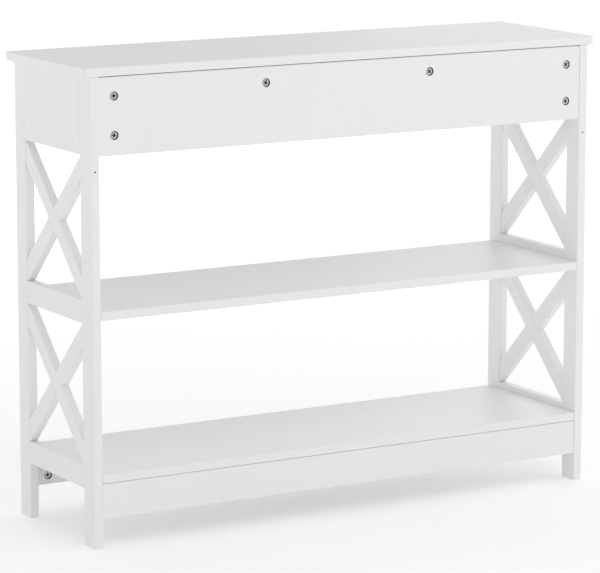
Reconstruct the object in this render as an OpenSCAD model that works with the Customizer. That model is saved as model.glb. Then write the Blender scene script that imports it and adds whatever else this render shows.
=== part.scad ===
// Console table with crossed side frames, two shelves and one full-width drawer.
// X runs along the length, Y from front to back, Z up; the floor is Z = 0.
// "Left" and "right" are as seen from the front, where the drawer opens.

/* [Overall] */
// Height of the table
table_h = 800; // [760:5:860]
// Length over the outer faces of the side frames
body_w = 978; // [800:1:1200]
// Depth over the front and rear faces of the side frames
body_d = 282; // [270:1:320]

/* [Top] */
// Thickness of the top
top_t = 15; // [15:0.5:22]
// Overhang of the top beyond each side frame
side_over = 11; // [4:0.5:20]
// Overhang of the top at the front
front_over = 12.5; // [4:0.5:20]
// Overhang of the top at the rear
rear_over = 2.5; // [0:0.5:6]
// Radius of the top's vertical corners
top_corner_r = 4; // [1:0.5:8]

/* [Side frames] */
// Thickness of stiles, side rails and side panels
stile_t = 16; // [16:0.5:18]
// Width of a stile, front to back
stile_w = 38; // [36:0.5:42]
// Height of the side and middle rails
rail_h = 38.4; // [36:0.2:42]
// Underside of the middle side rails
mid_rail_z = 375.4; // [370:0.2:380]
// Underside of the bottom side rails
low_rail_z = 97; // [92:0.5:102]
// Width of a brace bar
brace_w = 28; // [24:0.5:32]
// Thickness of a brace bar
brace_t = 14.6; // [12:0.2:16]

/* [Boards] */
// Thickness of shelves, rear panel, aprons and drawer rails
board_t = 15; // [15:0.5:18]
// Height of the drawer case under the top
case_h = 130.5; // [128:0.5:140]
// Upper face of the middle shelf
mid_shelf_z = 398.5; // [395:0.5:402]
// Upper face of the bottom shelf
low_shelf_z = 125; // [122:0.5:128]
// How far the shelves stop short of the front
shelf_set = 9; // [2:0.5:14]
// Underside of the aprons below the bottom shelf
apron_z = 50; // [40:1:52]
// How far rear panel and aprons sit behind the stile faces
panel_set = 1; // [0:0.5:2]

/* [Drawer] */
// Thickness of the drawer front
front_t = 16; // [15:0.5:18]
// Gap all round the drawer front
front_gap = 2.5; // [1.5:0.5:3]
// Thickness of the drawer sides and back
side_t = 12; // [12:0.5:13]
// Height of the drawer sides
side_h = 76; // [60:1:78]
// Depth of the drawer box behind its front
box_d = 228; // [227:1:232]
// Thickness of the drawer bottom
bottom_t = 3; // [2.5:0.5:4]
// Distance of each knob from the middle
knob_x = 235; // [100:5:350]
// Diameter of a knob
knob_d = 32; // [24:1:36]
// How far a knob stands out
knob_out = 24; // [20:1:26]

/* [Hardware] */
// Diameter of a cam lock
cam_d = 15; // [12:0.5:15]
// Distance from a board's end to its cam locks
cam_set = 28.5; // [26:0.5:34]
// Diameter of the wooden dowels
dowel_d = 6; // [5:0.5:8]
// Diameter of the drawer rollers
roller_d = 17; // [16:0.5:17]
// Length of the drawer runners
runner_l = 225; // [222:1:226]
// Diameter of the screw cover caps
cap_d = 15; // [12:0.5:16]
// Diameter of the anti-tip strap holes in the rear stiles
strap_hole_d = 3; // [2.5:0.5:4]
// Height of the anti-tip strap holes
strap_hole_z = 630; // [600:5:640]

/* [Hidden] */

// Frame: the origin is on the floor in the middle of the whole outline.
y_front = (knob_out - body_d - rear_over) / 2;
y_rear = y_front + body_d;
y_mid = (y_front + y_rear) / 2;
inner_w = body_w - 2 * stile_t;
stile_x = (body_w - stile_t) / 2;
stile_h = table_h - top_t;
case_z = stile_h - case_h;
apron_top = low_shelf_z - board_t;
rear_board_y = y_rear - panel_set - board_t / 2;
front_board_y = y_front + panel_set + board_t / 2;

// Openings of the side frames and the slope of the bars that cross them.
open_y = body_d / 2 - stile_w;
upper_lo = mid_rail_z + rail_h;
lower_lo = low_rail_z + rail_h;
function brace_angle(h) =
    acos(brace_w / 2 / norm([h / 2, open_y])) - atan2(open_y, h / 2);

// Fits.
dowel_l = 28;
brace_dowel_l = 24;
cross_dowel_reach = 14;
dowel_r = dowel_d / 2;
dowel_gap = 0.05;
cam_r = cam_d / 2 - 0.2;
cam_gap = 0.2;
cam_h = 12.2;
cam_h_drawer = 9.4;
cam_sink = 1.8;
cam_sink_drawer = 0.8;
cam_slot_w = 1.5;
cam_slot_l = 8.5;
cam_slot_depth = 1;
bolt_r = 2.6;
bolt_head_r = 3.5;
bolt_thread_r = 3;
bolt_thread_l = 10.5;
bolt_collar_r = 3.7;
bolt_collar_l = 1.2;
bolt_neck_r = 1.9;
bolt_bore_r = 4;
screw_gap = 0.05;
top_seam = 1.3;
apron_seam = 0.6;
shelf_seam = 0.4;
cap_h = 0.7;
cap_rim_h = 0.25;
strap_hole_l = 20;

// Places of the joints, from the edge or the middle of the board they sit in.
panel_cam_edge = 33;
panel_cam_x = 161;
side_cam_y = 70;
shelf_cam_y = 75;
apron_cam_z = 16;
rail_cam_y = 27;
top_rail_cam_y = 29;
drawer_cam_lo = 26;
drawer_cam_hi = 14;
panel_dowel_edge = 20;
rail_dowel_half = 10;
apron_dowel_z = 44;
rail_dowel_y = 11;
top_rail_dowel_y = 49;
shelf_screw_front = 18;
shelf_screw_rear = 17;
apron_screw_z = 9;
back_screw_lo = 22;
back_screw_hi = 16;
top_rail_screw_x = 300;
top_rail_screw_y = 37;
top_rail_set = 2;
top_rail_w = 40;
cabinet_screw_y = [48, 118, 188];

// Countersunk screws as [shank radius, head radius, length, width of the head's slot].
screw_rim = 0.8;
screw_tip_l = 3;
screw_tip_r = 0.4;
shelf_screw = [2.5, 5, 50, 1.2];
apron_screw = [2, 4, 40, 1.2];
top_rail_screw = [2, 4, 25, 1.2];
back_screw = [1.75, 3.5, 30, 1];

// Flat-headed screws of the cabinet runners.
runner_screw_r = 1.7;
runner_screw_l = 12.5;
runner_head_r = 3.2;
runner_head_t = 0.7;

// Drawer and its runners.
rail_top = case_z + board_t;
front_lo = rail_top + front_gap;
front_hi = stile_h - front_gap;
front_w = inner_w - 2 * front_gap;
front_back_y = y_front + front_t;
runner_gap = 12.5;
box_w = inner_w - 2 * runner_gap;
side_x = (box_w - side_t) / 2;
sheet_t = 1.2;
runner_z = rail_top + 4.5;
runner_h = 24;
runner_reach = 10.5;
runner_y = y_front + 20;
track_z = runner_z + 6;
side_lo = track_z + sheet_t;
drawer_runner_y = front_back_y + 1;
slide_lip_z = runner_z + 18.9;
groove = 5;
bottom_z = side_lo + 9;
roller_r = roller_d / 2;
roller_w = 5.8;
roller_in = 3.2;
roller_bore_r = 2.05;
axle_r = 2;
axle_head_r = 3.2;
axle_head_t = 0.6;
roller_play = 0.3;
front_roller_y = runner_y + 12;
front_roller_z = runner_z + sheet_t + roller_r + 0.4;
rear_roller_y = drawer_runner_y + runner_l - 12;
rear_roller_z = runner_z + sheet_t + roller_r + 0.3;
knob_z = (front_lo + front_hi) / 2;
knob_screw_r = 2;

white = [0.93, 0.93, 0.94];
beech = [0.85, 0.72, 0.52];
steel = [0.66, 0.67, 0.69];
nylon = [0.88, 0.88, 0.86];

// Every cam joint as [point on the receiving face, bolt direction, cam face direction,
// distance from the bolt's axis to the cam face, cam height].
rear_panel_joints = [
    for (s = [-1, 1], z = [case_z + panel_cam_edge, stile_h - panel_cam_edge])
        [[s * inner_w / 2, rear_board_y, z], [-s, 0, 0], [0, 1, 0], board_t / 2, cam_h],
    for (x = [-panel_cam_x, panel_cam_x])
        [[x, rear_board_y, stile_h], [0, 0, -1], [0, 1, 0], board_t / 2, cam_h]
];
side_panel_joints = [
    for (s = [-1, 1], y = [-side_cam_y, side_cam_y])
        [[s * stile_x, y_mid + y, stile_h], [0, 0, -1], [-s, 0, 0], stile_t / 2, cam_h]
];
apron_joints = [
    for (s = [-1, 1])
        [[s * inner_w / 2, rear_board_y, apron_z + apron_cam_z],
         [-s, 0, 0], [0, -1, 0], board_t / 2, cam_h],
    for (s = [-1, 1])
        [[s * inner_w / 2, front_board_y, apron_z + apron_cam_z],
         [-s, 0, 0], [0, 1, 0], board_t / 2, cam_h]
];
drawer_rail_joints = [
    for (s = [-1, 1])
        [[s * inner_w / 2, y_front + rail_cam_y, case_z + board_t / 2],
         [-s, 0, 0], [0, 0, -1], board_t / 2, cam_h]
];
top_rail_joints = [
    for (s = [-1, 1])
        [[s * inner_w / 2, y_front + top_rail_cam_y, stile_h - board_t / 2],
         [-s, 0, 0], [0, 0, -1], board_t / 2, cam_h]
];
shelf_joints = [
    for (s = [-1, 1], y = [-shelf_cam_y, shelf_cam_y])
        [[s * inner_w / 2, y_mid + y, low_shelf_z - board_t / 2],
         [-s, 0, 0], [0, 0, -1], board_t / 2, cam_h]
];
drawer_joints = [
    for (s = [-1, 1], z = [side_lo + drawer_cam_lo, side_lo + side_h - drawer_cam_hi])
        [[s * side_x, front_back_y, z], [0, 1, 0], [s, 0, 0], side_t / 2, cam_h_drawer]
];
carcass_joints = concat(side_panel_joints, apron_joints, drawer_rail_joints, top_rail_joints);

// Lower and upper opening of a side frame as [bottom, height].
openings = [[upper_lo, case_z - upper_lo], [lower_lo, mid_rail_z - lower_lo]];

// Dowels of one side frame as [middle, direction, length].
function frame_dowels(s) = [
    for (e = [-1, 1], z = [
        case_z + panel_dowel_edge, stile_h - panel_dowel_edge,
        mid_rail_z + rail_h / 2 - rail_dowel_half, mid_rail_z + rail_h / 2 + rail_dowel_half,
        low_rail_z + rail_h / 2 - rail_dowel_half, low_rail_z + rail_h / 2 + rail_dowel_half
    ]) [[s * stile_x, y_mid + e * open_y, z], [0, 1, 0], dowel_l],
    for (o = openings, e = [-1, 1], f = [-1, 1])
        [[s * stile_x, y_mid + e * open_y, o[0] + o[1] / 2 + f * open_y * tan(brace_angle(o[1]))],
         [0, 1, 0], brace_dowel_l],
    for (o = openings)
        [[s * stile_x, y_mid, o[0] + o[1] / 2],
         [0, cos(brace_angle(o[1])), sin(brace_angle(o[1]))], brace_w + 2 * cross_dowel_reach]
];
// Dowels between the side frames and the boards that join them.
board_dowels = [
    for (s = [-1, 1], p = [
        [rear_board_y, case_z + case_h / 2],
        [rear_board_y, apron_z + apron_dowel_z],
        [front_board_y, apron_z + apron_dowel_z],
        [y_mid, mid_shelf_z - board_t / 2],
        [y_mid, low_shelf_z - board_t / 2],
        [y_front + rail_dowel_y, case_z + board_t / 2],
        [y_front + top_rail_dowel_y, stile_h - board_t / 2]
    ]) [[s * inner_w / 2, p[0], p[1]], [1, 0, 0], brace_dowel_l]
];

// Screws through the stiles as [y, z].
shelf_screw_spots = [
    for (y = [y_front + shelf_screw_front, y_rear - shelf_screw_rear])
        [y, mid_shelf_z - board_t / 2]
];
apron_screw_spots = [
    for (y = [front_board_y, rear_board_y]) [y, apron_z + apron_screw_z]
];

// ---- Helpers ----

// A board given by its low and high corners.
module board(lo, hi)
    translate(lo) cube(hi - lo);

// Puts local z along dir, with local x along side.
module aim(p, dir, side) {
    t = cross(dir, side);
    multmatrix([
        [side[0], t[0], dir[0], p[0]],
        [side[1], t[1], dir[1], p[1]],
        [side[2], t[2], dir[2], p[2]],
        [0, 0, 0, 1]
    ]) children();
}

// A direction square to dir.
function square_to(dir) = abs(dir[0]) > 0.5 ? [0, 1, 0] : [1, 0, 0];

module dowel(d, gap)
    aim(d[0], d[1], square_to(d[1]))
        cylinder(r = dowel_r + gap, h = d[2] + 2 * gap, center = true, $fn = 32);

module dowels(list)
    for (d = list) dowel(d, 0);

module dowel_holes(list)
    for (d = list) dowel(d, dowel_gap);

// Cam lock: a short drum, sunk below the board's face, with a cross recess and a pocket
// for the bolt's head.
module cam(j) {
    sink = j[4] == cam_h ? cam_sink : cam_sink_drawer;
    aim(j[0], j[1], j[2])
        difference() {
            translate([j[3] - j[4], 0, cam_set])
                rotate([0, 90, 0]) cylinder(r = cam_r, h = j[4] - sink, $fn = 48);
            translate([0, 0, cam_set - cam_r - 1])
                cylinder(r = bolt_head_r + 0.3, h = cam_r + 4, $fn = 32);
            for (a = [45, 135])
                translate([j[3] - sink, 0, cam_set]) rotate([a, 0, 0])
                    cube([2 * cam_slot_depth, cam_slot_w, cam_slot_l], center = true);
        }
}

// The drum's hole and the bolt's channel in the board that carries the cam.
module cam_hole(j)
    aim(j[0], j[1], j[2]) {
        translate([j[3] - j[4] - cam_gap, 0, cam_set])
            rotate([0, 90, 0]) cylinder(r = cam_r + cam_gap, h = j[4] + 1, $fn = 48);
        translate([0, 0, -1]) cylinder(r = bolt_bore_r, h = cam_set + 1, $fn = 32);
    }

// Cam bolt: thread, collar, shank, neck and head.
module cam_bolt(j)
    aim(j[0], j[1], j[2])
        rotate_extrude($fn = 32) polygon([
            [0, -bolt_thread_l], [bolt_thread_r, -bolt_thread_l], [bolt_thread_r, 0.1],
            [bolt_collar_r, 0.1], [bolt_collar_r, bolt_collar_l],
            [bolt_r, bolt_collar_l], [bolt_r, cam_set - 6],
            [bolt_neck_r, cam_set - 5.6], [bolt_neck_r, cam_set - 2], [bolt_head_r, cam_set - 1.4],
            [bolt_head_r, cam_set + 1], [2.4, cam_set + 2], [0, cam_set + 2]
        ]);

module bolt_thread_hole(j)
    aim(j[0], j[1], j[2])
        translate([0, 0, -bolt_thread_l - screw_gap])
            cylinder(r = bolt_thread_r + screw_gap, h = bolt_thread_l + 1, $fn = 32);

// Countersunk screw along +z from its head's face at z = 0.
module wood_screw(kind) {
    shank = kind[0];
    head = kind[1];
    length = kind[2];
    difference() {
        rotate_extrude($fn = 32) polygon([
            [0, 0], [head, 0], [head, screw_rim], [shank, head - shank + screw_rim],
            [shank, length - screw_tip_l], [screw_tip_r, length], [0, length]
        ]);
        for (a = [0, 90]) rotate(a)
            translate([-head * 0.6, -kind[3] / 2, -0.5]) cube([head * 1.2, kind[3], 1.7]);
    }
}

module wood_screw_hole(kind) {
    shank = kind[0] + screw_gap;
    head = kind[1] + screw_gap;
    length = kind[2] + 0.3;
    rotate_extrude($fn = 32) polygon([
        [0, -2], [head, -2], [head, screw_rim + screw_gap],
        [shank, head - shank + screw_rim + screw_gap], [shank, length], [0, length]
    ]);
}

// A screw through a stile at side s, head flush with the outer face.
module stile_screw_spot(s, p)
    aim([s * body_w / 2, p[0], p[1]], [-s, 0, 0], [0, 1, 0]) children();

// ---- Top and side frames ----

module tabletop() {
    x = body_w / 2 + side_over;
    y0 = y_front - front_over;
    y1 = y_rear + rear_over;
    r = top_corner_r;
    color(white) difference() {
        translate([0, 0, stile_h]) linear_extrude(top_t) union() {
            translate([-x + r, y0]) square([2 * (x - r), y1 - y0]);
            translate([-x, y0 + r]) square([2 * x, y1 - y0 - 2 * r]);
            for (sx = [-1, 1], y = [y0 + r, y1 - r])
                translate([sx * (x - r), y]) circle(r = r, $fn = 32);
        }
        for (j = concat(rear_panel_joints, side_panel_joints))
            if (j[1][2] == -1) bolt_thread_hole(j);
        top_rail_screw_spots() wood_screw_hole(top_rail_screw);
    }
}

// e is -1 at the front and 1 at the rear.
module stile(s, e) {
    y = e < 0 ? y_front : y_rear - stile_w;
    x = s < 0 ? -body_w / 2 : body_w / 2 - stile_t;
    color(white) difference() {
        board([x, y, 0], [x + stile_t, y + stile_w, stile_h]);
        dowel_holes([for (d = frame_dowels(s)) if ((d[0][1] - y_mid) * e > 1) d]);
        dowel_holes([for (d = board_dowels)
            if (d[0][0] * s > 0 && d[0][1] > y && d[0][1] < y + stile_w) d]);
        for (j = concat(rear_panel_joints, carcass_joints))
            if (j[1][0] == -s && j[0][1] > y && j[0][1] < y + stile_w) bolt_thread_hole(j);
        for (p = shelf_screw_spots)
            if ((p[0] - y_mid) * e > 0) stile_screw_spot(s, p) wood_screw_hole(shelf_screw);
        for (p = apron_screw_spots)
            if ((p[0] - y_mid) * e > 0) stile_screw_spot(s, p) wood_screw_hole(apron_screw);
        if (e > 0)
            translate([s * stile_x, y_rear + 1, strap_hole_z]) rotate([90, 0, 0])
                cylinder(d = strap_hole_d, h = strap_hole_l + 1, $fn = 32);
    }
}

// A board of a side frame between the stiles.
module frame_board(s, z0, z1) {
    x = s < 0 ? -body_w / 2 : body_w / 2 - stile_t;
    color(white) difference() {
        board([x, y_mid - open_y, z0], [x + stile_t, y_mid + open_y, z1]);
        dowel_holes([for (d = frame_dowels(s))
            if (d[0][2] > z0 && d[0][2] < z1 && d[2] == dowel_l) d]);
        dowel_holes([for (d = board_dowels)
            if (d[0][0] * s > 0 && d[0][2] > z0 && d[0][2] < z1 && abs(d[0][1] - y_mid) < open_y) d]);
        children();
    }
}

module side_panel(s)
    frame_board(s, case_z, stile_h) {
        for (j = side_panel_joints) if (j[0][0] * s > 0) cam_hole(j);
        cabinet_runner_screw_spots(s) runner_screw_hole();
    }

module middle_rail(s)
    frame_board(s, mid_rail_z, mid_rail_z + rail_h);

module bottom_rail(s)
    frame_board(s, low_rail_z, low_rail_z + rail_h)
        for (j = shelf_joints) if (j[0][0] * s > 0) bolt_thread_hole(j);

// One bar of a cross, an outline in y and z pushed out along x.
module brace(s, lo, h, points)
    color(white) difference() {
        translate([s * stile_x - brace_t / 2, y_mid, lo + h / 2])
            rotate([90, 0, 90]) linear_extrude(brace_t) polygon(points);
        dowel_holes([for (d = frame_dowels(s))
            if (d[0][2] > lo && d[0][2] < lo + h && d[2] != dowel_l) d]);
    }

// The long bar falls from the front to the rear.
module long_brace(s, lo, h) {
    a = brace_angle(h);
    v = brace_w / 2 / cos(a);
    z = open_y * tan(a);
    brace(s, lo, h, [[-open_y, z - v], [open_y, -z - v], [open_y, v - z], [-open_y, z + v]]);
}

// The short bars run from the long bar up to the rear stile or down to the front one.
module short_brace(s, lo, h, e) {
    a = brace_angle(h);
    v = brace_w / 2 / cos(a);
    z = open_y * tan(a);
    brace(s, lo, h, e * [[0, v], [v / tan(a), 0], [open_y, z - v], [open_y, z + v]]);
}

module upper_brace(s, e)
    if (e == 0) long_brace(s, upper_lo, case_z - upper_lo);
    else short_brace(s, upper_lo, case_z - upper_lo, e);

module lower_brace(s, e)
    if (e == 0) long_brace(s, lower_lo, mid_rail_z - lower_lo);
    else short_brace(s, lower_lo, mid_rail_z - lower_lo, e);

module side_frame_dowels(s) color(beech) dowels(frame_dowels(s));

// ---- Boards between the frames ----

module end_dowel_holes(y0, y1, z0, z1)
    dowel_holes([for (d = board_dowels)
        if (d[0][1] > y0 && d[0][1] < y1 && d[0][2] > z0 && d[0][2] < z1) d]);

// A board from frame to frame, seam short of them at each end, cut by what its children say.
module cross_board(y0, y1, z0, z1, seam = 0)
    color(white) difference() {
        board([seam - inner_w / 2, y0, z0], [inner_w / 2 - seam, y1, z1]);
        end_dowel_holes(y0, y1, z0, z1);
        children();
    }

module rear_panel()
    cross_board(rear_board_y - board_t / 2, rear_board_y + board_t / 2, case_z, stile_h - top_seam)
        for (j = rear_panel_joints) cam_hole(j);

module drawer_rail()
    cross_board(y_front + panel_set, y_front + stile_w, case_z, rail_top)
        for (j = drawer_rail_joints) cam_hole(j);

module front_top_rail()
    cross_board(front_back_y + top_rail_set, front_back_y + top_rail_set + top_rail_w,
                stile_h - board_t, stile_h) {
        for (j = top_rail_joints) cam_hole(j);
        top_rail_screw_spots() wood_screw_hole(top_rail_screw);
    }

module stile_screws(spots)
    for (s = [-1, 1], p = spots) stile_screw_spot(s, p) children();

module middle_shelf()
    cross_board(y_front + shelf_set, y_rear, mid_shelf_z - board_t, mid_shelf_z)
        stile_screws(shelf_screw_spots) wood_screw_hole(shelf_screw);

module bottom_shelf()
    cross_board(y_front + shelf_set, y_rear, apron_top, low_shelf_z, shelf_seam)
        for (j = shelf_joints) cam_hole(j);

module apron(y)
    cross_board(y - board_t / 2, y + board_t / 2, apron_z, apron_top - apron_seam) {
        for (j = apron_joints) if (j[0][1] == y) cam_hole(j);
        stile_screws([for (p = apron_screw_spots) if (p[0] == y) p]) wood_screw_hole(apron_screw);
    }

module front_apron() apron(front_board_y);
module rear_apron() apron(rear_board_y);

module carcass_dowels() color(beech) dowels(board_dowels);
module rear_panel_cams() color(steel) for (j = rear_panel_joints) cam(j);
module carcass_cams() color(steel) for (j = carcass_joints) cam(j);
module bottom_shelf_cams() color(steel) for (j = shelf_joints) cam(j);
module carcass_cam_bolts()
    color(steel) for (j = concat(rear_panel_joints, carcass_joints, shelf_joints)) cam_bolt(j);
module confirmat_screws() color(steel) stile_screws(shelf_screw_spots) wood_screw(shelf_screw);
module apron_screws() color(steel) stile_screws(apron_screw_spots) wood_screw(apron_screw);

// Shallow domed caps over the screw heads.
module screw_caps()
    color(white) stile_screws(concat(shelf_screw_spots, apron_screw_spots))
        translate([0, 0, -cap_h]) rotate_extrude($fn = 48) polygon([
            [0, 0], [cap_d / 2 - 1.2, 0], [cap_d / 2 - 0.3, cap_rim_h], [cap_d / 2, cap_h], [0, cap_h]
        ]);

module top_rail_screw_spots()
    for (x = [-top_rail_screw_x, 0, top_rail_screw_x])
        translate([x, y_front + top_rail_screw_y, stile_h - board_t]) children();

module top_rail_screws() color(steel) top_rail_screw_spots() wood_screw(top_rail_screw);

// ---- Runners ----

// Local x runs from the side panel towards the drawer.
module runner_side(s)
    translate([s * inner_w / 2, 0, 0]) mirror([s > 0 ? 1 : 0, 0, 0]) children();

module cabinet_runner_screw_spots(s)
    runner_side(s) for (y = cabinet_screw_y)
        translate([sheet_t + runner_head_t, runner_y + y, runner_z + runner_h / 2])
            rotate([0, -90, 0]) children();

// Flat-headed screw pointing out of the channel into the side panel.
module runner_screw()
    rotate_extrude($fn = 32) polygon([
        [0, 0], [runner_head_r - 0.8, 0], [runner_head_r, runner_head_t / 2],
        [runner_head_r, runner_head_t], [runner_screw_r, runner_head_t],
        [runner_screw_r, runner_screw_l - 2], [screw_tip_r, runner_screw_l], [0, runner_screw_l]
    ]);

module runner_screw_hole()
    translate([0, 0, runner_head_t])
        cylinder(r = runner_screw_r + screw_gap, h = runner_screw_l - runner_head_t + 0.5, $fn = 32);

// A channel open towards the drawer.
module cabinet_runner(s)
    color(white) difference() {
        runner_side(s) {
            board([0, runner_y, runner_z], [sheet_t, runner_y + runner_l, runner_z + runner_h]);
            for (z = [runner_z, runner_z + runner_h - sheet_t])
                board([0, runner_y, z], [runner_reach, runner_y + runner_l, z + sheet_t]);
        }
        cabinet_runner_screw_spots(s) runner_screw_hole();
        runner_side(s) translate([-1, front_roller_y, front_roller_z]) rotate([0, 90, 0])
            cylinder(r = axle_r + screw_gap, h = 4, $fn = 32);
    }

module cabinet_runner_screws()
    color(steel) for (s = [-1, 1]) cabinet_runner_screw_spots(s) runner_screw();

// Roller at a place on its runner, as [y, z], for both sides.
module roller_pair(p)
    for (s = [-1, 1]) runner_side(s)
        translate([0, p[0], p[1]]) rotate([0, 90, 0]) children();

module roller()
    translate([0, 0, roller_in]) rotate_extrude($fn = 64) polygon([
        [roller_bore_r, 0], [roller_r - 0.8, 0], [roller_r, 0.8], [roller_r, roller_w - 0.8],
        [roller_r - 0.8, roller_w], [roller_bore_r, roller_w]
    ]);

module front_rollers() color(nylon) roller_pair([front_roller_y, front_roller_z]) roller();
module rear_rollers() color(nylon) roller_pair([rear_roller_y, rear_roller_z]) roller();

// Axles are riveted into their runner and hold the roller between shoulder and head.
module front_roller_axles()
    color(steel) roller_pair([front_roller_y, front_roller_z])
        rotate_extrude($fn = 32) polygon([
            [0, 0], [axle_r, 0], [axle_r, sheet_t], [axle_head_r, sheet_t],
            [axle_head_r, roller_in - roller_play], [axle_r, roller_in - roller_play],
            [axle_r, roller_in + roller_w + roller_play],
            [axle_head_r, roller_in + roller_w + roller_play],
            [axle_head_r, roller_in + roller_w + roller_play + axle_head_t],
            [0, roller_in + roller_w + roller_play + axle_head_t]
        ]);

module rear_roller_axles()
    color(steel) roller_pair([rear_roller_y, rear_roller_z])
        rotate_extrude($fn = 32) polygon([
            [0, runner_gap], [axle_r, runner_gap], [axle_r, runner_gap - sheet_t],
            [axle_head_r, runner_gap - sheet_t],
            [axle_head_r, roller_in + roller_w + roller_play],
            [axle_r, roller_in + roller_w + roller_play],
            [axle_r, roller_in - roller_play], [axle_head_r, roller_in - roller_play],
            [axle_head_r, roller_in - roller_play - axle_head_t],
            [0, roller_in - roller_play - axle_head_t]
        ]);

// A rail that wraps the drawer side's lower edge, with a lip that rides on the front roller.
module drawer_runner(s)
    color(white) difference() {
        runner_side(s) {
            y1 = drawer_runner_y + runner_l;
            board([runner_gap - sheet_t, drawer_runner_y, track_z],
                  [runner_gap, y1, slide_lip_z + sheet_t]);
            board([2.2, drawer_runner_y, slide_lip_z], [runner_gap, y1, slide_lip_z + sheet_t]);
            board([runner_gap - sheet_t, drawer_runner_y, track_z],
                  [runner_gap + side_t, y1, track_z + sheet_t]);
        }
        runner_side(s) translate([runner_gap - 3, rear_roller_y, rear_roller_z]) rotate([0, 90, 0])
            cylinder(r = axle_r + screw_gap, h = 4, $fn = 32);
    }

// ---- Drawer ----

module knob_spots()
    for (x = [-knob_x, knob_x])
        translate([x, y_front, knob_z]) rotate([90, 0, 0]) children();

module drawer_front()
    color(white) difference() {
        board([-front_w / 2, y_front, front_lo], [front_w / 2, front_back_y, front_hi]);
        for (j = drawer_joints) bolt_thread_hole(j);
        board([-box_w / 2 + side_t - groove, front_back_y - groove, bottom_z - 0.1],
              [box_w / 2 - side_t + groove, front_back_y + 1, bottom_z + bottom_t + 0.1]);
        knob_spots() translate([0, 0, -front_t - 1])
            cylinder(r = knob_screw_r + 0.2, h = front_t + 2, $fn = 32);
    }

// Bottom sheet grown by gap, for the grooves that hold it.
module bottom_sheet(gap)
    board([-box_w / 2 + side_t - groove + 0.3 - gap, front_back_y - groove + 0.3, bottom_z - gap],
          [box_w / 2 - side_t + groove - 0.3 + gap, front_back_y + box_d - side_t + groove - 0.3 + gap,
           bottom_z + bottom_t + gap]);

module drawer_side(s)
    color(white) difference() {
        board([s * side_x - side_t / 2, front_back_y, side_lo],
              [s * side_x + side_t / 2, front_back_y + box_d, side_lo + side_h]);
        for (j = drawer_joints) if (j[0][0] * s > 0) cam_hole(j);
        bottom_sheet(0.3);
        back_screw_spots(s) wood_screw_hole(back_screw);
    }

module back_screw_spots(s)
    for (z = [side_lo + back_screw_lo, side_lo + side_h - back_screw_hi])
        aim([s * box_w / 2, front_back_y + box_d - side_t / 2, z], [-s, 0, 0], [0, 1, 0]) children();

module drawer_back() {
    x = box_w / 2 - side_t;
    color(white) difference() {
        board([-x, front_back_y + box_d - side_t, side_lo], [x, front_back_y + box_d, side_lo + side_h]);
        bottom_sheet(0.1);
        for (s = [-1, 1]) back_screw_spots(s) wood_screw_hole(back_screw);
    }
}

module drawer_bottom() color(white) bottom_sheet(0);
module drawer_cams() color(steel) for (j = drawer_joints) cam(j);
module drawer_cam_bolts() color(steel) for (j = drawer_joints) cam_bolt(j);
module drawer_back_screws()
    color(steel) for (s = [-1, 1]) back_screw_spots(s) wood_screw(back_screw);

// Turned knob: foot, neck and domed head, with a blind hole for its screw.
module knobs() {
    r = knob_d / 2;
    color(white) knob_spots() difference() {
        rotate_extrude($fn = 64) {
            square([r * 0.52, 3]);
            square([r * 0.36, knob_out - 8]);
            translate([0, knob_out - 12]) polygon([
                [0, 0], [r * 0.36, 0], [r * 0.8, 1.6], [r, 4.4], [r, 7.2], [r * 0.86, 9.8],
                [r * 0.55, 11.5], [r * 0.25, 12], [0, 12]
            ]);
        }
        translate([0, 0, -1]) cylinder(r = knob_screw_r + screw_gap, h = 13, $fn = 32);
    }
}

module knob_screws()
    color(steel) knob_spots() translate([0, 0, -front_t - 2.2])
        rotate_extrude($fn = 32) polygon([
            [0, 0], [2.6, 0], [4, 1.2], [4, 2.2], [knob_screw_r, 2.2],
            [knob_screw_r, front_t + 12], [0, front_t + 12]
        ]);

// ---- Assembly ----

tabletop();
stile(-1, -1);  // left_front_stile
stile(-1, 1);  // left_rear_stile
stile(1, -1);  // right_front_stile
stile(1, 1);  // right_rear_stile
side_panel(-1);  // left_side_panel
side_panel(1);  // right_side_panel
middle_rail(-1);  // left_middle_rail
middle_rail(1);  // right_middle_rail
bottom_rail(-1);  // left_bottom_rail
bottom_rail(1);  // right_bottom_rail
upper_brace(-1, 0);  // left_upper_long_brace
upper_brace(-1, -1);  // left_upper_front_brace
upper_brace(-1, 1);  // left_upper_rear_brace
lower_brace(-1, 0);  // left_lower_long_brace
lower_brace(-1, -1);  // left_lower_front_brace
lower_brace(-1, 1);  // left_lower_rear_brace
upper_brace(1, 0);  // right_upper_long_brace
upper_brace(1, -1);  // right_upper_front_brace
upper_brace(1, 1);  // right_upper_rear_brace
lower_brace(1, 0);  // right_lower_long_brace
lower_brace(1, -1);  // right_lower_front_brace
lower_brace(1, 1);  // right_lower_rear_brace
side_frame_dowels(-1);  // left_frame_dowels
side_frame_dowels(1);  // right_frame_dowels
rear_panel();
drawer_rail();
front_top_rail();
middle_shelf();
bottom_shelf();
front_apron();
rear_apron();
carcass_dowels();
rear_panel_cams();
carcass_cams();
bottom_shelf_cams();
carcass_cam_bolts();
confirmat_screws();
apron_screws();
screw_caps();
top_rail_screws();
cabinet_runner(-1);  // left_cabinet_runner
cabinet_runner(1);  // right_cabinet_runner
cabinet_runner_screws();
front_roller_axles();
front_rollers();
drawer_front();
drawer_side(-1);  // drawer_left_side
drawer_side(1);  // drawer_right_side
drawer_back();
drawer_bottom();
drawer_cams();
drawer_cam_bolts();
drawer_back_screws();
knobs();
knob_screws();
drawer_runner(-1);  // left_drawer_runner
drawer_runner(1);  // right_drawer_runner
rear_roller_axles();
rear_rollers();
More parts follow.
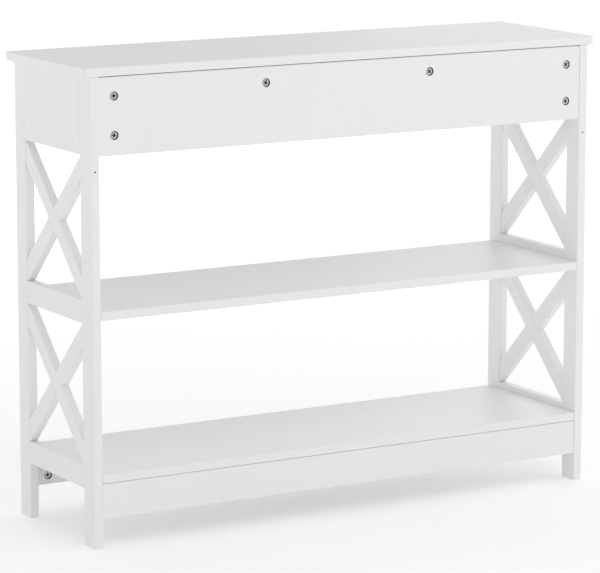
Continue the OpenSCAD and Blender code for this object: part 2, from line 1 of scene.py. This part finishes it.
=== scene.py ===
"""Looks of a white console table with crossed side frames, two shelves and a drawer.

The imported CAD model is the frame. Boards and runners get copies with eased edges, the cam
locks, caps, knobs and rollers get finished pieces of their own, and the small hidden hardware
keeps its CAD shape under better materials. Lengths are in metres.
"""

from math import cos, pi, radians, sin

import bmesh
import bpy
from mathutils import Matrix, Vector


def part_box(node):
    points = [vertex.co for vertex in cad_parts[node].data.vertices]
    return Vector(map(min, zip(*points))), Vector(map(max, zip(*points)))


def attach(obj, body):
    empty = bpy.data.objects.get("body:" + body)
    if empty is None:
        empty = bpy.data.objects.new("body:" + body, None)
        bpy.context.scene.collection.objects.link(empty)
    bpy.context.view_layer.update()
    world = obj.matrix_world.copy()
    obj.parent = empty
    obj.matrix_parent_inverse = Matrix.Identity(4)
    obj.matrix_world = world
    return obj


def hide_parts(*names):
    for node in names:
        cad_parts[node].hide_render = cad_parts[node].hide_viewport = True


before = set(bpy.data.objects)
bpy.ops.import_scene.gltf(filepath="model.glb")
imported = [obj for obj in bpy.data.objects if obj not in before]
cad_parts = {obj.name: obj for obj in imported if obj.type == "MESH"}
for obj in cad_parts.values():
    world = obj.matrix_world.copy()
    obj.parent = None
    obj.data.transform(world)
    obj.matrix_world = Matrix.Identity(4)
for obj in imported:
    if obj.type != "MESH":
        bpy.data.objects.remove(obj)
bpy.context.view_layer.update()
MM = 0.001

TABLE = "table"
DRAWER = "drawer"
FRONT_ROLLERS = "front_rollers"
REAR_ROLLERS = "rear_rollers"

# Edge radius of each kind of board, and of the folded runners.
TOP_EDGE = 1.6 * MM
BOARD_EDGE = 1.1 * MM
BAR_EDGE = 1.0 * MM
FRONT_EDGE = 1.4 * MM
DRAWER_EDGE = 0.7 * MM
HARDBOARD_EDGE = 0.3 * MM
FOLD_EDGE = 0.35 * MM

# Points closer than WELD are one, and faces that meet at less than FLAT are merged. Edges above
# SHARP stay hard, and those longer than LONG_EDGE are outer ones. A face with its middle more
# than HOLE_DEPTH below the rounding is a hole wall.
WELD = 1e-6
FLAT = radians(0.5)
SHARP = radians(50)
LONG_EDGE = 12 * MM
HOLE_DEPTH = 0.1 * MM

EDGE_STEPS = 3
TURN_SEGMENTS = 48
NORMAL_WEIGHT = 100
SORT_DIGITS = 4

SIDES = ("left", "right")
BRACES = [
    f"{side}_{level}_{bar}_brace"
    for side in SIDES
    for level in ("upper", "lower")
    for bar in ("long", "front", "rear")
]
FRAME_BOARDS = [
    f"{side}_{part}"
    for side in SIDES
    for part in ("front_stile", "rear_stile", "side_panel", "middle_rail", "bottom_rail")
]
CROSS_BOARDS = [
    "rear_panel", "drawer_rail", "front_top_rail",
    "middle_shelf", "bottom_shelf", "front_apron", "rear_apron",
]
DRAWER_BOARDS = ["drawer_left_side", "drawer_right_side", "drawer_back"]


# ---- Materials ----

WHITE = (0.870, 0.870, 0.884)


def shader(name, **values):
    """A new material's node tree, its Principled shader and a texture coordinate in metres."""
    material = bpy.data.materials.new(name)
    material.use_nodes = True
    tree = material.node_tree
    principled = tree.nodes["Principled BSDF"]
    for socket, value in values.items():
        principled.inputs[socket.replace("_", " ")].default_value = value
    place = tree.nodes.new("ShaderNodeTexCoord").outputs["Object"]
    return material, tree, principled, place


def noise(tree, place, scale, detail=2.0, roughness=0.5, distortion=0.0):
    """Noise over the object, with features about 1 / scale metres across."""
    node = tree.nodes.new("ShaderNodeTexNoise")
    node.inputs["Scale"].default_value = scale
    node.inputs["Detail"].default_value = detail
    node.inputs["Roughness"].default_value = roughness
    node.inputs["Distortion"].default_value = distortion
    tree.links.new(place, node.inputs["Vector"])
    return node.outputs["Fac"]


def stretched(tree, place, scale):
    """The texture coordinate scaled by a different amount along each axis."""
    node = tree.nodes.new("ShaderNodeMapping")
    node.inputs["Scale"].default_value = scale
    tree.links.new(place, node.inputs["Vector"])
    return node.outputs["Vector"]


def shades(tree, factor, *stops):
    """A colour that runs through the (position, colour) stops."""
    ramp = tree.nodes.new("ShaderNodeValToRGB")
    elements = ramp.color_ramp.elements
    while len(elements) < len(stops):
        elements.new(0.5)
    for element, (position, colour) in zip(elements, stops):
        element.position = position
        element.color = (*colour, 1.0)
    tree.links.new(factor, ramp.inputs["Fac"])
    return ramp.outputs["Color"]


def span(tree, factor, low, high, start=0.3, end=0.7):
    """The factor spread from low to high."""
    node = tree.nodes.new("ShaderNodeMapRange")
    node.inputs["From Min"].default_value = start
    node.inputs["From Max"].default_value = end
    node.inputs["To Min"].default_value = low
    node.inputs["To Max"].default_value = high
    tree.links.new(factor, node.inputs["Value"])
    return node.outputs["Result"]


def bumped(tree, principled, *layers):
    """Bump from (height, depth in metres, strength) layers, finest last."""
    normal = None
    for height, depth, strength in layers:
        node = tree.nodes.new("ShaderNodeBump")
        node.inputs["Distance"].default_value = depth
        node.inputs["Strength"].default_value = strength
        tree.links.new(height, node.inputs["Height"])
        if normal is not None:
            tree.links.new(normal, node.inputs["Normal"])
        normal = node.outputs["Normal"]
    tree.links.new(normal, principled.inputs["Normal"])


def painted(name, tone, low_gloss, high_gloss, orange_peel=0.35):
    """Sprayed lacquer: a faint cloudiness, an uneven sheen and a fine orange peel."""
    material, tree, principled, place = shader(name, IOR=1.47)
    low = [channel * 0.985 for channel in tone]
    cloud = noise(tree, place, 7, detail=3)
    tree.links.new(shades(tree, cloud, (0.3, low), (0.7, tone)),
                   principled.inputs["Base Color"])
    sheen = noise(tree, place, 45, detail=3)
    tree.links.new(span(tree, sheen, low_gloss, high_gloss), principled.inputs["Roughness"])
    bumped(tree, principled,
           (noise(tree, place, 120, detail=1), 0.12 * MM, orange_peel * 0.4),
           (noise(tree, place, 620, detail=2), 0.05 * MM, orange_peel))
    return material


def hardboard():
    """Thin fibre board: white film on both faces, pressed brown fibres along its edges."""
    material, tree, principled, place = shader("hardboard", IOR=1.46)
    fibre = noise(tree, stretched(tree, place, (380, 900, 900)), 1.0, detail=6, roughness=0.65)
    brown = shades(tree, fibre, (0.32, (0.13, 0.075, 0.038)), (0.5, (0.235, 0.145, 0.078)),
                   (0.7, (0.33, 0.215, 0.125)))
    film = shades(tree, noise(tree, place, 9, detail=3),
                  (0.3, [channel * 0.97 for channel in WHITE]), (0.7, WHITE))
    facing_up = tree.nodes.new("ShaderNodeSeparateXYZ")
    normal = tree.nodes.new("ShaderNodeNewGeometry").outputs["Normal"]
    tree.links.new(normal, facing_up.inputs["Vector"])
    flatness = tree.nodes.new("ShaderNodeMath")
    flatness.operation = "ABSOLUTE"
    tree.links.new(facing_up.outputs["Z"], flatness.inputs[0])
    mix = tree.nodes.new("ShaderNodeMix")
    mix.data_type = "RGBA"
    share = span(tree, flatness.outputs[0], 0, 1, start=0.4, end=0.6)
    tree.links.new(share, mix.inputs["Factor"])
    tree.links.new(brown, mix.inputs["A"])
    tree.links.new(film, mix.inputs["B"])
    tree.links.new(mix.outputs["Result"], principled.inputs["Base Color"])
    tree.links.new(span(tree, fibre, 0.42, 0.56), principled.inputs["Roughness"])
    bumped(tree, principled, (fibre, 0.03 * MM, 0.3))
    return material


def fibre_core_and_shade():
    """The bare fibre board inside drilled holes and grooves, made darker than raw board as
    painted shade.
    """
    material, tree, principled, place = shader("fibre_core_and_shade", Roughness=0.9, IOR=1.4)
    fibre = noise(tree, place, 1800, detail=4, roughness=0.7)
    # Raw fibre board brown, darkened to paint in the shade inside the holes.
    tree.links.new(shades(tree, fibre, (0.3, (0.09, 0.065, 0.045)), (0.7, (0.19, 0.145, 0.105))),
                   principled.inputs["Base Color"])
    bumped(tree, principled, (fibre, 0.1 * MM, 0.5))
    return material


def beech():
    """Turned beech with fine dark rays along the dowel."""
    material, tree, principled, place = shader("beech_wood", Roughness=0.55, IOR=1.46)
    grain = noise(tree, stretched(tree, place, (140, 1500, 1500)), 1.0, detail=4, distortion=0.4)
    tree.links.new(shades(tree, grain, (0.35, (0.38, 0.22, 0.11)), (0.5, (0.60, 0.40, 0.23)),
                          (0.65, (0.68, 0.49, 0.30))), principled.inputs["Base Color"])
    bumped(tree, principled, (grain, 0.05 * MM, 0.4))
    return material


def metal(name, dark, light, low_gloss, high_gloss, grain, pitting):
    """Bare or plated metal: cloudy colour, uneven gloss and a cast or drawn skin."""
    material, tree, principled, place = shader(name, Metallic=1.0)
    cloud = noise(tree, place, grain, detail=5, roughness=0.6)
    tree.links.new(shades(tree, cloud, (0.3, dark), (0.7, light)),
                   principled.inputs["Base Color"])
    tree.links.new(span(tree, cloud, high_gloss, low_gloss), principled.inputs["Roughness"])
    bumped(tree, principled, (noise(tree, place, grain * 4, detail=3), 0.04 * MM, pitting))
    return material


def moulded(name, tone, low_gloss, high_gloss, translucence=0.0):
    """Moulded plastic with a fine spark-eroded texture."""
    material, tree, principled, place = shader(
        name, IOR=1.5, Subsurface_Weight=translucence, Subsurface_Scale=2 * MM)
    low = [channel * 0.97 for channel in tone]
    cloud = noise(tree, place, 60, detail=2)
    tree.links.new(shades(tree, cloud, (0.3, low), (0.7, tone)),
                   principled.inputs["Base Color"])
    tree.links.new(span(tree, noise(tree, place, 240), low_gloss, high_gloss),
                   principled.inputs["Roughness"])
    bumped(tree, principled, (noise(tree, place, 2600, detail=2), 0.03 * MM, 0.3))
    return material


white_paint = painted("white_paint", WHITE, 0.40, 0.50)
knob_paint = painted("knob_paint", (0.880, 0.880, 0.894), 0.24, 0.32, orange_peel=0.2)
coated_steel = painted("coated_steel", (0.850, 0.850, 0.864), 0.32, 0.42, orange_peel=0.8)
fibre_board = hardboard()
core_and_hole_shade = fibre_core_and_shade()
beech_wood = beech()
cam_zinc = metal("cam_zinc", (0.42, 0.42, 0.425), (0.72, 0.72, 0.73), 0.24, 0.42, 450, 0.5)
# Near-black metal painted on the cam recesses, groove and drum sides as shade.
cam_painted_shade = metal("cam_painted_shade", (0.03, 0.03, 0.032), (0.09, 0.09, 0.095), 0.45, 0.65, 500, 0.5)
plated_steel = metal(
    "plated_steel", (0.52, 0.53, 0.55), (0.68, 0.69, 0.70), 0.22, 0.36, 700, 0.25)
nylon = moulded("nylon", (0.76, 0.76, 0.73), 0.38, 0.50, translucence=0.15)
cap_plastic = moulded("cap_plastic", (0.855, 0.855, 0.868), 0.42, 0.52)


# ---- Pieces ----

def finish_piece(name, mesh, materials, body, nodes):
    """Turns a bmesh into a smooth-shaded piece that stands for some CAD nodes."""
    for face in mesh.faces:
        face.smooth = True
    for edge in mesh.edges:
        if len(edge.link_faces) == 2:
            edge.smooth = edge.calc_face_angle(0) < SHARP
    data = bpy.data.meshes.new(name)
    mesh.to_mesh(data)
    mesh.free()
    for material in materials:
        data.materials.append(material)
    piece = bpy.data.objects.new(name, data)
    bpy.context.scene.collection.objects.link(piece)
    weighted = piece.modifiers.new("weighted_normals", "WEIGHTED_NORMAL")
    weighted.keep_sharp = True
    weighted.weight = NORMAL_WEIGHT
    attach(piece, body)
    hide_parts(*nodes)
    return piece


def outer_edges(mesh):
    """The convex sharp edges that are long, and the short ones that carry them round corners."""
    convex = {
        edge for edge in mesh.edges
        if len(edge.link_faces) == 2 and edge.is_convex and edge.calc_face_angle(0) > SHARP
    }
    found = {edge for edge in convex if edge.calc_length() > LONG_EDGE}
    front = list(found)
    while front:
        edge = front.pop()
        for vert in edge.verts:
            for other in vert.link_edges:
                if other in convex and other not in found:
                    found.add(other)
                    front.append(other)
    return list(found)


def eased(node, radius, materials, body):
    """A copy of a CAD board with rounded outer edges; a second material goes on hole walls."""
    mesh = bmesh.new()
    mesh.from_mesh(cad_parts[node].data)
    bmesh.ops.remove_doubles(mesh, verts=mesh.verts, dist=WELD)
    bmesh.ops.dissolve_limit(mesh, angle_limit=FLAT, verts=mesh.verts, edges=mesh.edges)
    bmesh.ops.bevel(mesh, geom=outer_edges(mesh), offset=radius, offset_type="OFFSET",
                    segments=EDGE_STEPS, profile=0.5, affect="EDGES", clamp_overlap=False)
    # Hole walls take the second material: bare fibre board, darkened as painted shade.
    if len(materials) > 1:
        low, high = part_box(node)
        for face in mesh.faces:
            middle = face.calc_center_median()
            depth = min(min(middle[i] - low[i], high[i] - middle[i]) for i in range(3))
            face.material_index = int(depth > radius + HOLE_DEPTH)
    finish_piece(f"{node}_finished", mesh, materials, body, [node])


def solids(node):
    """For each separate solid of a CAD node: its box's middle and size, and its mean point."""
    mesh = bmesh.new()
    mesh.from_mesh(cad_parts[node].data)
    bmesh.ops.remove_doubles(mesh, verts=mesh.verts, dist=WELD)
    left = set(mesh.verts)
    found = []
    while left:
        front = [left.pop()]
        points = []
        while front:
            vert = front.pop()
            points.append(vert.co.copy())
            for edge in vert.link_edges:
                other = edge.other_vert(vert)
                if other in left:
                    left.remove(other)
                    front.append(other)
        low = Vector(min(point[i] for point in points) for i in range(3))
        high = Vector(max(point[i] for point in points) for i in range(3))
        mean = sum(points, Vector()) / len(points)
        found.append(((low + high) / 2, high - low, mean))
    mesh.free()
    return sorted(found, key=lambda solid: tuple(round(x, SORT_DIGITS) for x in solid[0]))


def facing(z_axis, origin):
    """The matrix that puts local +Z along z_axis at origin."""
    turn = Vector(z_axis).to_track_quat("Z", "Y").to_matrix().to_4x4()
    return Matrix.Translation(origin) @ turn


def turned(mesh, place, profile, segments=TURN_SEGMENTS):
    """Adds a turned shape: profile is a list of (radius, height) from one end to the other."""
    rings = []
    for radius, height in profile:
        if radius == 0:
            rings.append([mesh.verts.new(place @ Vector((0, 0, height)))])
            continue
        rings.append([
            mesh.verts.new(place @ Vector((radius * cos(a), radius * sin(a), height)))
            for a in (2 * pi * k / segments for k in range(segments))
        ])
    for low, high in zip(rings, rings[1:]):
        for k in range(segments):
            corners = [low[k % len(low)], low[(k + 1) % len(low)],
                       high[(k + 1) % len(high)], high[k % len(high)]]
            kept = list(dict.fromkeys(corners))
            if len(kept) > 2:
                mesh.faces.new(kept)


def arc(centre, radius, start, end, steps):
    """Points (radius, height) on an arc, with angles in degrees."""
    return [
        (centre[0] + radius * cos(radians(start + (end - start) * k / steps)),
         centre[1] + radius * sin(radians(start + (end - start) * k / steps)))
        for k in range(steps + 1)
    ]


# ---- Cam locks ----

# The drum: its chamfer, the drop of its outer lip and the depth of the groove inside that lip.
CAM_SEGMENTS = 64
CAM_RIM = 0.3 * MM
CAM_LIP = 0.1 * MM
CAM_GROOVE = 0.7 * MM

# The pocket for the bolt's head: its radius, and how far it goes past the drum's middle and rim.
CAM_POCKET_R = 3.8 * MM
CAM_POCKET_END = 3.0 * MM
CAM_POCKET_PAST = 1.0 * MM

# The cross recess: the reach and half width of an arm, the corner between two arms in half
# widths, the size of the floor against the mouth, and the share it takes of the metal over the
# pocket.
CAM_ARM = 4.4 * MM
CAM_ARM_HALF = 1.0 * MM
ARM_STEPS = 4
CROSS_CORNER = 1.35
CROSS_TAPER = 0.75
RECESS_SHARE = 0.75

# The arrow mark, with its points in drum radii.
ARROW = ((0.52, -0.10), (0.72, 0), (0.52, 0.10))
ARROW_TAPER = 0.8
ARROW_DEPTH = 0.3 * MM

# Turn of the first cross and from each cam lock to the next, in degrees, as a hand leaves them.
FIRST_TURN = 25
NEXT_TURN = 13

# Material of each band of the drum, from its face down: 0 is bright zinc, 1 is painted shade.
CAM_BANDS = (1, 1, 1, 0, 0, 1, 1)


def cross_outline(reach, half):
    """The outline of a cross recess with rounded arm ends, as (x, y) points."""
    points = []
    for arm in range(4):
        turn = Matrix.Rotation(arm * pi / 2, 2)
        points += [turn @ Vector(p) for p in arc((reach - half, 0), half, -90, 90, ARM_STEPS)]
        points.append(turn @ Vector((half * CROSS_CORNER, half * CROSS_CORNER)))
    return points


def ring(mesh, place, points, height):
    """A closed loop of new vertices, with its edges."""
    verts = [mesh.verts.new(place @ Vector((x, y, height))) for x, y in points]
    edges = [mesh.edges.new(pair) for pair in zip(verts, verts[1:] + verts[:1])]
    return verts, edges


def wall(mesh, low, high, index):
    """Faces between two loops of the same length, in the material at index."""
    for k in range(len(low)):
        n = (k + 1) % len(low)
        mesh.faces.new((low[k], low[n], high[n], high[k])).material_index = index


def recess(mesh, place, outline, shrink, depth):
    """A blind recess in painted shade that narrows towards its floor; returns the edges of its
    mouth.
    """
    mouth, edges = ring(mesh, place, outline, 0)
    middle = sum((Vector(p) for p in outline), Vector((0, 0))) / len(outline)
    shrunk = [middle + (Vector(p) - middle) * shrink for p in outline]
    bottom, _ = ring(mesh, place, shrunk, -depth)
    wall(mesh, mouth, bottom, 1)
    mesh.faces.new(bottom).material_index = 1
    return edges


def cam_drum(mesh, place, radius, depth, recess_depth):
    """A cam drum with its face at local z = 0: cross recess, arrow mark and grooved rim."""
    steps = [
        (radius * 0.80, 0), (radius * 0.83, -CAM_GROOVE), (radius * 0.89, -CAM_GROOVE),
        (radius * 0.92, -CAM_LIP), (radius - CAM_RIM, -CAM_LIP), (radius, -CAM_LIP - CAM_RIM),
        (radius, CAM_RIM - depth), (radius - CAM_RIM, -depth),
    ]
    loops = []
    for r, height in steps:
        angles = (2 * pi * k / CAM_SEGMENTS for k in range(CAM_SEGMENTS))
        loops.append(ring(mesh, place, [(r * cos(a), r * sin(a)) for a in angles], height))
    # The groove and the drum's side take the painted shade, by CAM_BANDS.
    for (high, _), (low, _), index in zip(loops, loops[1:], CAM_BANDS):
        wall(mesh, high, low, index)
    mesh.faces.new(loops[-1][0])
    edges = list(loops[0][1])
    cross = cross_outline(CAM_ARM, CAM_ARM_HALF)
    edges += recess(mesh, place, cross, CROSS_TAPER, recess_depth)
    corner = Matrix.Rotation(pi / 4, 2)
    arrow = [corner @ Vector(p) * radius for p in ARROW]
    edges += recess(mesh, place, arrow, ARROW_TAPER, ARROW_DEPTH)
    bmesh.ops.triangle_fill(mesh, edges=edges, use_beauty=True)


def subtract(piece, mesh):
    """Cuts the bmesh out of the piece for good."""
    data = bpy.data.meshes.new("cutter")
    bmesh.ops.recalc_face_normals(mesh, faces=mesh.faces)
    mesh.to_mesh(data)
    mesh.free()
    cutter = bpy.data.objects.new("cutter", data)
    bpy.context.scene.collection.objects.link(cutter)
    cut = piece.modifiers.new("cut", "BOOLEAN")
    cut.operation = "DIFFERENCE"
    cut.solver = "EXACT"
    cut.object = cutter
    piece.modifiers.move(len(piece.modifiers) - 1, 0)
    weighted = piece.modifiers["weighted_normals"]
    weighted.show_viewport = False
    evaluated = piece.evaluated_get(bpy.context.evaluated_depsgraph_get())
    piece.data = bpy.data.meshes.new_from_object(evaluated)
    weighted.show_viewport = True
    piece.modifiers.remove(cut)
    bpy.data.objects.remove(cutter)


def cam_locks(node, bolts, body):
    """Finished cam locks in the places of a node's plain drums, each open towards its bolt."""
    drums = bmesh.new()
    pockets = bmesh.new()
    bolt_solids = solids(bolts)
    for count, (middle, size, mean) in enumerate(solids(node)):
        axis = min(range(3), key=lambda i: size[i])
        out = Vector((0, 0, 0))
        out[axis] = 1 if mean[axis] > middle[axis] else -1
        depth = size[axis]
        radius = max(size) / 2
        bolt, bolt_size, _ = min(bolt_solids, key=lambda solid: (solid[0] - middle).length)
        along = max(range(3), key=lambda i: bolt_size[i])
        towards = Vector((0, 0, 0))
        towards[along] = 1 if bolt[along] > middle[along] else -1
        heart = bolt.copy()
        heart[along] = middle[along]
        face = middle + out * depth / 2
        roof = (face - heart).dot(out) - CAM_POCKET_R
        turn = Matrix.Rotation(radians(FIRST_TURN + NEXT_TURN * count), 4, "Z")
        cam_drum(drums, facing(out, face) @ turn, radius, depth, roof * RECESS_SHARE)
        mouth = radius + CAM_POCKET_PAST
        turned(pockets, facing(towards, heart), [
            (0, -CAM_POCKET_END), (CAM_POCKET_R, -CAM_POCKET_END),
            (CAM_POCKET_R, mouth), (0, mouth)])
    bmesh.ops.recalc_face_normals(drums, faces=drums.faces)
    # The drums' second material is the painted shade.
    piece = finish_piece(
        f"{node}_finished", drums, [cam_zinc, cam_painted_shade], body, [node])
    subtract(piece, pockets)


# ---- Caps, knobs and rollers ----

# A screw cap: the domed share of its height, the flat share of its radius, and two exponents,
# one for the roundness of its shoulder and one for how soon the dome levels out.
CAP_DOME = 0.7
CAP_FLAT = 0.3
CAP_SHOULDER = 0.35
CAP_LEVEL = 2.2
DOME_STEPS = 9

KNOB_HEAD = 12 * MM
KNOB_SEGMENTS = 32
KNOB_SMOOTHING = 2

# A roller: the radii of its bore and hub, and the width of its rim and depth of its web.
ROLLER_SEGMENTS = 64
ROLLER_BORE = 2.05 * MM
ROLLER_HUB = 3.7 * MM
ROLLER_RIM = 1.8 * MM
ROLLER_RECESS = 1.1 * MM
ROLLER_FILLET = 0.5 * MM
WEB_DRAFT = 0.2 * MM


def screw_caps():
    """Shallow domed covers pressed over the screw heads of the side frames."""
    mesh = bmesh.new()
    for middle, size, _ in solids("screw_caps"):
        out = Vector((1 if middle.x > 0 else -1, 0, 0))
        radius = size.y / 2
        rise = size.x
        dome = [(radius, -rise / 2), (radius, rise * (0.5 - CAP_DOME))]
        for k in range(1, DOME_STEPS):
            part = k / DOME_STEPS
            height = rise * (0.5 - CAP_DOME * (1 - part) ** CAP_LEVEL)
            dome.append((radius * cos(part * pi / 2) ** CAP_SHOULDER, height))
        dome += [(radius * CAP_FLAT, rise / 2), (0, rise / 2)]
        turned(mesh, facing(out, middle), [(0, -rise / 2), *dome])
    bmesh.ops.recalc_face_normals(mesh, faces=mesh.faces)
    finish_piece(
        "screw_caps_finished", mesh, [cap_plastic], TABLE, ["screw_caps"])


def knobs():
    """Turned knobs: a foot ring, a waisted neck and a mushroom head."""
    mesh = bmesh.new()
    for middle, size, _ in solids("knobs"):
        radius = size.x / 2
        back = -size.y / 2
        head = size.y / 2 - KNOB_HEAD
        profile = [
            (0, back), (radius * 0.50, back), (radius * 0.52, back + 0.6 * MM),
            (radius * 0.52, back + 2.0 * MM), (radius * 0.47, back + 3.0 * MM),
            (radius * 0.37, back + 3.8 * MM), (radius * 0.33, back + 5.5 * MM),
            (radius * 0.33, head - 2.2 * MM), (radius * 0.38, head - 0.4 * MM),
            (radius * 0.56, head + 0.8 * MM), (radius * 0.80, head + 2.0 * MM),
            (radius * 0.95, head + 3.6 * MM), (radius, head + 5.4 * MM),
            (radius * 0.985, head + 7.0 * MM), (radius * 0.90, head + 8.9 * MM),
            (radius * 0.74, head + 10.4 * MM), (radius * 0.50, head + 11.4 * MM),
            (radius * 0.25, head + 11.9 * MM), (0, head + KNOB_HEAD),
        ]
        turned(mesh, facing((0, -1, 0), middle), profile, segments=KNOB_SEGMENTS)
    bmesh.ops.recalc_face_normals(mesh, faces=mesh.faces)
    piece = finish_piece("knobs_finished", mesh, [knob_paint], DRAWER, ["knobs"])
    piece.modifiers.remove(piece.modifiers["weighted_normals"])
    smooth = piece.modifiers.new("smooth", "SUBSURF")
    smooth.levels = KNOB_SMOOTHING
    smooth.render_levels = KNOB_SMOOTHING


def rollers(node, body):
    """Nylon rollers with a crowned tread and a recessed web round the hub."""
    mesh = bmesh.new()
    for middle, size, _ in solids(node):
        radius = size.y / 2
        half = size.x / 2
        rim = radius - ROLLER_RIM
        web = half - ROLLER_RECESS
        corner = (radius - ROLLER_FILLET, half - ROLLER_FILLET)
        face = [(ROLLER_BORE, half), (ROLLER_HUB, half), (ROLLER_HUB + WEB_DRAFT, web),
                (rim - WEB_DRAFT, web), (rim, half)]
        crown = [(corner[0], half), *arc(corner, ROLLER_FILLET, 60, 0, 2)]
        profile = [(ROLLER_BORE, 0), *face, *crown, (radius, 0)]
        back = [(r, -h) for r, h in reversed(profile[1:-1])]
        turned(mesh, facing((1, 0, 0), middle), [*profile, *back, (ROLLER_BORE, 0)],
               segments=ROLLER_SEGMENTS)
    bmesh.ops.remove_doubles(mesh, verts=mesh.verts, dist=WELD)
    bmesh.ops.recalc_face_normals(mesh, faces=mesh.faces)
    finish_piece(f"{node}_finished", mesh, [nylon], body, [node])


def dress(node, material):
    """Gives a CAD node that keeps its shape its material."""
    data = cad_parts[node].data
    data.materials.clear()
    data.materials.append(material)


eased("tabletop", TOP_EDGE, [white_paint, core_and_hole_shade], TABLE)
for node in FRAME_BOARDS + CROSS_BOARDS:
    eased(node, BOARD_EDGE, [white_paint, core_and_hole_shade], TABLE)
for node in BRACES:
    eased(node, BAR_EDGE, [white_paint], TABLE)
eased("drawer_front", FRONT_EDGE, [white_paint, core_and_hole_shade], DRAWER)
for node in DRAWER_BOARDS:
    eased(node, DRAWER_EDGE, [white_paint, core_and_hole_shade], DRAWER)
eased("drawer_bottom", HARDBOARD_EDGE, [fibre_board], DRAWER)
for side in SIDES:
    eased(f"{side}_cabinet_runner", FOLD_EDGE, [coated_steel], TABLE)
    eased(f"{side}_drawer_runner", FOLD_EDGE, [coated_steel], DRAWER)

for node in ("rear_panel_cams", "carcass_cams", "bottom_shelf_cams"):
    cam_locks(node, "carcass_cam_bolts", TABLE)
cam_locks("drawer_cams", "drawer_cam_bolts", DRAWER)
screw_caps()
knobs()
rollers("front_rollers", FRONT_ROLLERS)
rollers("rear_rollers", REAR_ROLLERS)

for node in ("left_frame_dowels", "right_frame_dowels", "carcass_dowels"):
    dress(node, beech_wood)
for node in ("carcass_cam_bolts", "confirmat_screws", "apron_screws", "top_rail_screws",
             "cabinet_runner_screws", "front_roller_axles", "rear_roller_axles",
             "drawer_cam_bolts", "drawer_back_screws", "knob_screws"):
    dress(node, plated_steel)


# ---- Studio ----

FLOOR_HALF = 40.0

# The floor lights itself a little, by NEAR_GLOW up to NEAR metres out and FAR_GLOW from FAR on.
NEAR = 2.0
FAR = 6.0
NEAR_GLOW = 0.18
FAR_GLOW = 0.40

SURROUND = 0.675
AIM = (0, 0, 0.4)

# Softboxes as (place, width, height, watts).
SOFTBOXES = {
    "side_box": ((-4.6, 0.6, 1.2), 2.6, 2.0, 16),
    "rear_box": ((-4.2, 2.6, 1.2), 2.6, 2.0, 18),
    "overhead_box": ((0.2, 2.4, 3.4), 3.0, 2.4, 16),
    "front_box": ((0.5, -4.4, 1.0), 3.4, 2.0, 38),
    "corner_box": ((-3.4, -3.0, 1.4), 2.6, 2.4, 17),
}

CAMERA_PLACE = (2.851, 4.870, 1.407)
CAMERA_TILT = 10.377
CAMERA_TURN = 30.275
CAMERA_LENS = 197.2
SENSOR_WIDTH = 36
CLIP_END = 200


def floor():
    """A pale seamless floor, a little self-lit so that it stays near white."""
    mesh = bmesh.new()
    corners = [(-1, -1), (1, -1), (1, 1), (-1, 1)]
    mesh.faces.new([mesh.verts.new((x * FLOOR_HALF, y * FLOOR_HALF, 0)) for x, y in corners])
    data = bpy.data.meshes.new("floor")
    mesh.to_mesh(data)
    mesh.free()
    material, tree, principled, place = shader("studio_floor", Emission_Color=(1, 1, 1, 1))
    cloud = noise(tree, place, 1.5)
    tree.links.new(shades(tree, cloud, (0.3, (0.93, 0.93, 0.93)), (0.7, (0.95, 0.95, 0.95))),
                   principled.inputs["Base Color"])
    tree.links.new(span(tree, noise(tree, place, 30), 0.85, 0.95),
                   principled.inputs["Roughness"])
    reach = tree.nodes.new("ShaderNodeVectorMath")
    reach.operation = "LENGTH"
    tree.links.new(place, reach.inputs[0])
    glow = span(tree, reach.outputs["Value"], NEAR_GLOW, FAR_GLOW, start=NEAR, end=FAR)
    tree.links.new(glow, principled.inputs["Emission Strength"])
    data.materials.append(material)
    piece = bpy.data.objects.new("floor", data)
    bpy.context.scene.collection.objects.link(piece)


def soft_light(name, place, width, height, power):
    """A white softbox at place, turned towards the table."""
    lamp = bpy.data.lights.new(name, "AREA")
    lamp.shape = "RECTANGLE"
    lamp.size = width
    lamp.size_y = height
    lamp.energy = power
    light = bpy.data.objects.new(name, lamp)
    bpy.context.scene.collection.objects.link(light)
    light.location = place
    light.rotation_euler = (Vector(AIM) - Vector(place)).to_track_quat("-Z", "Y").to_euler()


def studio():
    """White surroundings and the softboxes."""
    world = bpy.data.worlds.new("studio")
    world.use_nodes = True
    background = world.node_tree.nodes["Background"]
    background.inputs["Color"].default_value = (1, 1, 1, 1)
    background.inputs["Strength"].default_value = SURROUND
    bpy.context.scene.world = world
    for name, values in SOFTBOXES.items():
        soft_light(name, *values)
    bpy.context.scene.view_settings.view_transform = "Standard"


def camera():
    """The viewpoint: behind the table and off its right rear corner, a little above the top."""
    lens = bpy.data.cameras.new("camera")
    lens.lens = CAMERA_LENS
    lens.sensor_width = SENSOR_WIDTH
    lens.clip_end = CLIP_END
    piece = bpy.data.objects.new("camera", lens)
    bpy.context.scene.collection.objects.link(piece)
    piece.location = CAMERA_PLACE
    piece.rotation_euler = (radians(90 - CAMERA_TILT), 0, radians(180 - CAMERA_TURN))
    bpy.context.scene.camera = piece


floor()
studio()
camera()
